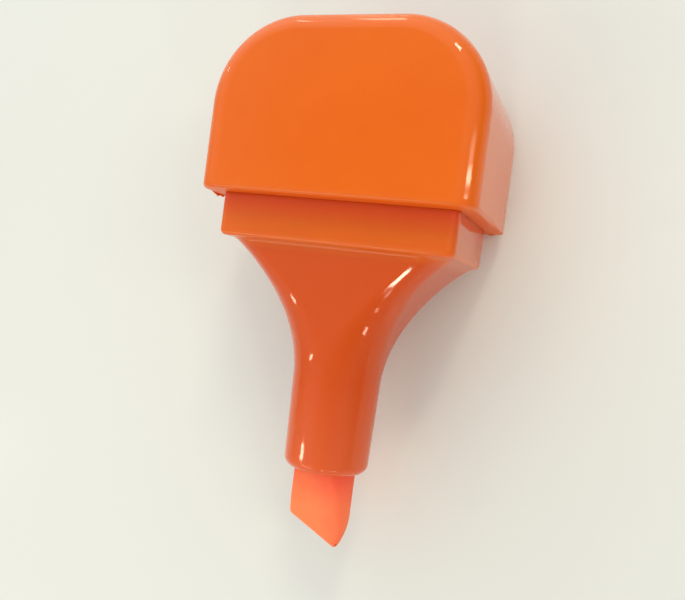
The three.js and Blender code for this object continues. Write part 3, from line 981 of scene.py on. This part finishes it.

# %% [markdown]
# ## Bonded polyester fibre
#
# Nib and core are polyester fibres that run along the pen, bonded into a porous rod. The surface is quite matt, with
# fine lines along it. Real fibres are about 0.02 mm thick, too fine to show here, so they are drawn about ten times
# as coarse. Ink makes the nib redder where it stays wet next to the tube, and the same redder colour is painted shade
# there, next to the tube's lip, and along the nib's longer side. Paper has rubbed one dark speck into the tip.
# Highlighter ink is fluorescent: it turns light that the eye can't see into its own colour, so a little of that
# colour is given off as well, as a painted glow that is the same under any light.

# %% Polyester fibre with ink
FIBRE_MM = 0.2
FIBRE_SQUEEZE = 0.06
FIBRE_DEPTH_MM = 0.02
FIBRE_RELIEF = 0.8
FIBRE_ROUGHNESS = 0.78
FIBRE_SCATTER_SHARE = 0.25
FIBRE_SCATTER = (1.0, 0.4, 0.25)
FIBRE_SCATTER_MM = 0.6
# Painted glow: the fibre gives off its own colour at a fixed strength, standing in for fluorescence
PAINTED_FLUORESCENT_GLOW = 0.1
# Shares of the wet colour: from uneven soaking, along the wet length, which on the nib is painted shade next to the
# tube as well, and across the nib's longer side, which is painted shade
CLOUD_MM = 1.6
CLOUD_SHARES = (-0.12, 0.16)
WET_SHADE_LENGTH_MM = 4.5
WET_SHADE_INSIDE_TUBE_MM = 0.5
WET_SHADE_SHARES = (-0.1, 0.75)
PAINTED_SIDE_SHADE_X_MM = (-0.8, 2.2)
PAINTED_SIDE_SHADE_SHARE = 0.45
SPECK_MM = (2.26, NIB_TIP_Y + 0.4, AXIS_Z + 0.53)
SPECK_RADIUS_MM = 0.22
SPECK_CORE = 0.4
SPECK_STRENGTH = 0.75


def add_speck(tree, where, base, colour):
    """One soft-edged dark speck over the base colour."""
    centre = tuple(v * MM for v in SPECK_MM)
    gap = add_node(tree, "ShaderNodeVectorMath", {"operation": "DISTANCE", 1: centre}, {0: where})
    ends = SPECK_CORE * SPECK_RADIUS_MM * MM, SPECK_RADIUS_MM * MM
    near = remap(tree, gap.outputs["Value"], *ends, SPECK_STRENGTH, 0.0)
    return mix_colours(tree, near, base, linear(colour))


def ink_soaked_fibre(name, dry_colour, wet_colour, wet_from_y, speck_colour=None):
    """Fibre with ink; with a speck colour, it is a used nib, with painted shade along one side as well."""
    material, tree, where = start_material(name)
    clouds = add_noise(tree, where, CLOUD_MM, 2.0)
    cloudy = remap(tree, clouds, *NOISE_RANGE, *CLOUD_SHARES)
    y = coordinate(tree, where, "Y")
    # Wet ink towards the given end; on the nib this is also painted shade next to the tube
    wet = remap(tree, y, (wet_from_y - WET_SHADE_LENGTH_MM) * MM, wet_from_y * MM, *WET_SHADE_SHARES)
    amount = math_node(tree, "ADD", wet, cloudy)
    if speck_colour:
        # Painted shade: the nib's longer side takes the wet colour
        painted_side_shade = remap(tree, coordinate(tree, where, "X"), *(x * MM for x in PAINTED_SIDE_SHADE_X_MM), 0.0, PAINTED_SIDE_SHADE_SHARE)
        amount = math_node(tree, "ADD", amount, painted_side_shade)
    base = mix_colours(tree, amount, linear(dry_colour), linear(wet_colour))
    if speck_colour:
        base = add_speck(tree, where, base, speck_colour)
    fibres = add_noise(tree, drawn_out(tree, where, FIBRE_SQUEEZE), FIBRE_MM, 3.0)
    relief = add_bump(tree, fibres, FIBRE_DEPTH_MM, FIBRE_RELIEF)
    settings = {
        "Roughness": FIBRE_ROUGHNESS,
        "Emission Strength": PAINTED_FLUORESCENT_GLOW,
        "Subsurface Weight": FIBRE_SCATTER_SHARE,
        "Subsurface Radius": FIBRE_SCATTER,
        "Subsurface Scale": FIBRE_SCATTER_MM * MM,
    }
    add_surface(tree, settings, {"Base Color": base, "Emission Color": base, "Normal": relief})
    return material


# The nib is painted redder next to the tube, as wet ink and as painted shade
nib_wet_y = TUBE_MOUTH_Y + WET_SHADE_INSIDE_TUBE_MM
nib_fibre = ink_soaked_fibre("bonded_polyester_nib", "#FF8450", "#F46040", nib_wet_y, "#7A3A2A")
core_fibre = ink_soaked_fibre("bundled_polyester_core", "#F66A2A", "#EE4A16", core_high.y)
nib_piece.data.materials.append(nib_fibre)
print("fibres:", nib_fibre.name, "and", core_fibre.name)

# %% [markdown]
# ## The film round the core
#
# Cores are wrapped in a thin extruded film. It is milky because its surface is slightly rough and it scatters a
# little. Long faint draw lines run the way it left the die.

# %% Extruded film
DRAW_LINE_MM = 0.5
DRAW_LINE_SQUEEZE = 0.02
DRAW_LINE_STRENGTH = 0.5
FILM_ROUGHNESS = (0.28, 0.42)
FILM_CLEARNESS = 0.5


def extruded_film(name, colour, line_colour):
    material, tree, where = start_material(name)
    lines = add_noise(tree, drawn_out(tree, where, DRAW_LINE_SQUEEZE), DRAW_LINE_MM, 2.0)
    shade = remap(tree, lines, *NOISE_RANGE, 0.0, DRAW_LINE_STRENGTH)
    base = mix_colours(tree, shade, linear(colour), linear(line_colour))
    rough = remap(tree, lines, *NOISE_RANGE, *FILM_ROUGHNESS)
    settings = {"IOR": POLYPROPYLENE_IOR, "Transmission Weight": FILM_CLEARNESS}
    add_surface(tree, settings, {"Base Color": base, "Roughness": rough})
    return material


def dress(node, material):
    """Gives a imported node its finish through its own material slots."""
    node.data.materials.clear()
    node.data.materials.append(material)


film = extruded_film("extruded_film", "#E9E4DC", "#F6D9C4")
dress(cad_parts["ink_core"], core_fibre)
dress(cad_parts["core_film"], film)
print("film:", film.name)

# %% [markdown]
# ## The table
#
# The pen lies on a white table top, a laminate under a satin lacquer. The table lights the sides of the pen from
# below, and takes up some orange next to it, which is what seats the pen on the table. It reaches so far that no edge
# of it comes near the pen in any view.

# %% Table top
TABLE_SIZE_MM = 4000.0
TABLE_DROP_MM = 0.01
TABLE_CLOUD_MM = 60.0
TABLE_CLOUD_STRENGTH = 0.3
SATIN_LACQUER = {"Roughness": 0.45, "IOR": 1.45, "Coat Weight": 0.5, "Coat Roughness": 0.2, "Coat IOR": 1.5}


def lacquered_laminate(name, colour, cloud_colour):
    material, tree, where = start_material(name)
    clouds = add_noise(tree, where, TABLE_CLOUD_MM, 2.0)
    cloudy = remap(tree, clouds, *NOISE_RANGE, 0.0, TABLE_CLOUD_STRENGTH)
    base = mix_colours(tree, cloudy, linear(colour), linear(cloud_colour))
    add_surface(tree, SATIN_LACQUER, {"Base Color": base})
    return material


bpy.ops.mesh.primitive_plane_add(size=TABLE_SIZE_MM * MM, location=(0, 0, -TABLE_DROP_MM * MM))
table_top = bpy.context.object
table_top.name = "table_top"
table_top.data.materials.append(lacquered_laminate("white_laminate", "#E4EBEB", "#DEE5E5"))
print("table", TABLE_SIZE_MM, "mm square")

# %% [markdown]
# ## The room
#
# Soft light comes from all round. It is strongest low down beyond the closed end, as from large windows. Each entry
# is a wide soft light that fades out round its direction, and the world is their sum on an even base. Over the pen is
# one soft dim patch, in the place that the flat faces mirror, so that they show their own colour in the middle and
# lighten towards their edges.

# %% The room
ROOM_BASE = 0.138
ROOM_SHARPNESS = 8.0
ROOM_LIGHT = {
    # name: turn from +X in degrees, height in degrees, strength, colour
    "end_low": (90, 10, 1.19, "#FFF4DC"),
    "end_left_low": (135, 10, 1.38, "#E2F9FF"),
    "nib_left_low": (225, 10, 0.79, "#FFF0E2"),
    "nib_low": (270, 10, 0.53, "#FFD7CA"),
    "nib_right_low": (315, 10, 0.56, "#FFD5CF"),
    "right_high": (0, 45, 0.40, "#FFF8F5"),
    "end_right_high": (60, 45, 0.55, "#FFFFFF"),
    "end_left_high": (120, 45, 0.88, "#FFFFFF"),
    "left_high": (180, 45, 0.51, "#FFFFFF"),
    "nib_left_high": (240, 45, 0.38, "#FFFEEA"),
    "overhead": (0, 90, 0.22, "#FFFBF3"),
}
DIM_PATCH = Vector((-0.33, 0.22, 0.92)).normalized()
DIM_PATCH_DEG = 16
DIM_PATCH_LEVEL = 0.39


def direction(turn_deg, height_deg):
    turn, height = math.radians(turn_deg), math.radians(height_deg)
    flat = math.cos(height)
    return Vector((math.cos(turn) * flat, math.sin(turn) * flat, math.sin(height)))


def towards(tree, way, aim):
    """Cosine of the angle between the looked-up direction and the aim."""
    dot = add_node(tree, "ShaderNodeVectorMath", {"operation": "DOT_PRODUCT", 1: tuple(aim)}, {0: way})
    return dot.outputs["Value"]


def room():
    """The world: soft lights on an even base, with one dim patch overhead."""
    world = bpy.data.worlds.new("room")
    world.use_nodes = True
    tree = world.node_tree
    way = add_node(tree, "ShaderNodeTexCoord").outputs["Generated"]
    light = None
    for turn_deg, height_deg, strength, colour in ROOM_LIGHT.values():
        facing = math_node(tree, "MAXIMUM", towards(tree, way, direction(turn_deg, height_deg)), 0.0)
        lobe = math_node(tree, "POWER", facing, ROOM_SHARPNESS)
        tint = tuple(strength * channel for channel in linear(colour)[:3])
        # The first light is added to the base, and each later one to the sum so far
        settings = {"operation": "MULTIPLY_ADD", 1: tint, 2: (ROOM_BASE,) * 3}
        links = {0: lobe, 2: light} if light else {0: lobe}
        light = add_node(tree, "ShaderNodeVectorMath", settings, links).outputs[0]
    outer = math.cos(math.radians(DIM_PATCH_DEG))
    patch = remap(tree, towards(tree, way, DIM_PATCH), outer, 1.0, 1.0, DIM_PATCH_LEVEL)
    tree.links.new(light, tree.nodes["Background"].inputs["Color"])
    tree.links.new(patch, tree.nodes["Background"].inputs["Strength"])
    return world


scene.world = room()
print("room lights:", ", ".join(ROOM_LIGHT))

# %% [markdown]
# ## Small lamps
#
# Small bright lamps make the short, hard highlights on the edges. A highlight lies where the surface mirrors its
# lamp, so each lamp has a direction, a size as seen from the pen, and a lean that lines it up with the edge that
# shows it. They are far off, so that every part of the pen sees a lamp in the same direction.

# %% Small lamps
LAMP_DISTANCE_MM = 6000.0
LAMP_COLOUR = "#FFF0D2"
LAMPS = {
    # name: turn from +X, height, width, length and lean, all in degrees; radiance
    "closed_end": (74.5, 38, 4.5, 14, 18, 26),
    "closed_end_line_left": (116.5, 19, 1.5, 12, 0, 9),
    "closed_end_line": (107.7, 14, 5.4, 14, 0, 6),
    "far_left": (152.8, 20.5, 1.2, 8, 0, 20),
    "right_tail": (17.4, 43.6, 3.0, 25, 11, 3.5),
    "right": (14.7, 42.5, 1.2, 25, 10, 24),
    "right_second": (12.5, 43.9, 0.6, 25, 9, 12),
    "nib_end": (-80.5, 37.4, 1.6, 20, -33, 34),
    "nib_right_dim": (-69.4, 24.6, 2, 8, -26, 6),
    "nib_right_dim_second": (-62.5, 24.1, 2, 8, -26, 6),
    "nib_right": (-50.4, 27, 4.6, 8, -24, 14),
    "nib_left": (-143.7, 33.1, 1.2, 12, 8, 20),
    "left": (-161.4, 37, 1.3, 9, 13, 24),
    "nib_left_wide": (-120, 35, 24, 14, 0, 2.5),
}


def add_lamp(name, turn_deg, height_deg, wide_deg, long_deg, lean_deg, radiance):
    """A lamp far off, facing the pen; its power follows from how large and how bright it looks."""
    way = direction(turn_deg, height_deg)
    data = bpy.data.lights.new(name, "AREA")
    data.shape = "RECTANGLE"
    data.size = LAMP_DISTANCE_MM * MM * math.radians(wide_deg)
    data.size_y = LAMP_DISTANCE_MM * MM * math.radians(long_deg)
    data.energy = radiance * math.pi * data.size * data.size_y
    data.color = linear(LAMP_COLOUR)[:3]
    lamp = bpy.data.objects.new(name, data)
    scene.collection.objects.link(lamp)
    lamp.location = Vector((0, 0, AXIS_Z * MM)) + way * LAMP_DISTANCE_MM * MM
    lean = Quaternion(way, -math.radians(lean_deg))
    lamp.rotation_euler = (lean @ way.to_track_quat("Z", "Y")).to_euler()


for name, numbers in LAMPS.items():
    add_lamp(name, *numbers)
print(len(LAMPS), "lamps")
scene.view_settings.view_transform = "Standard"
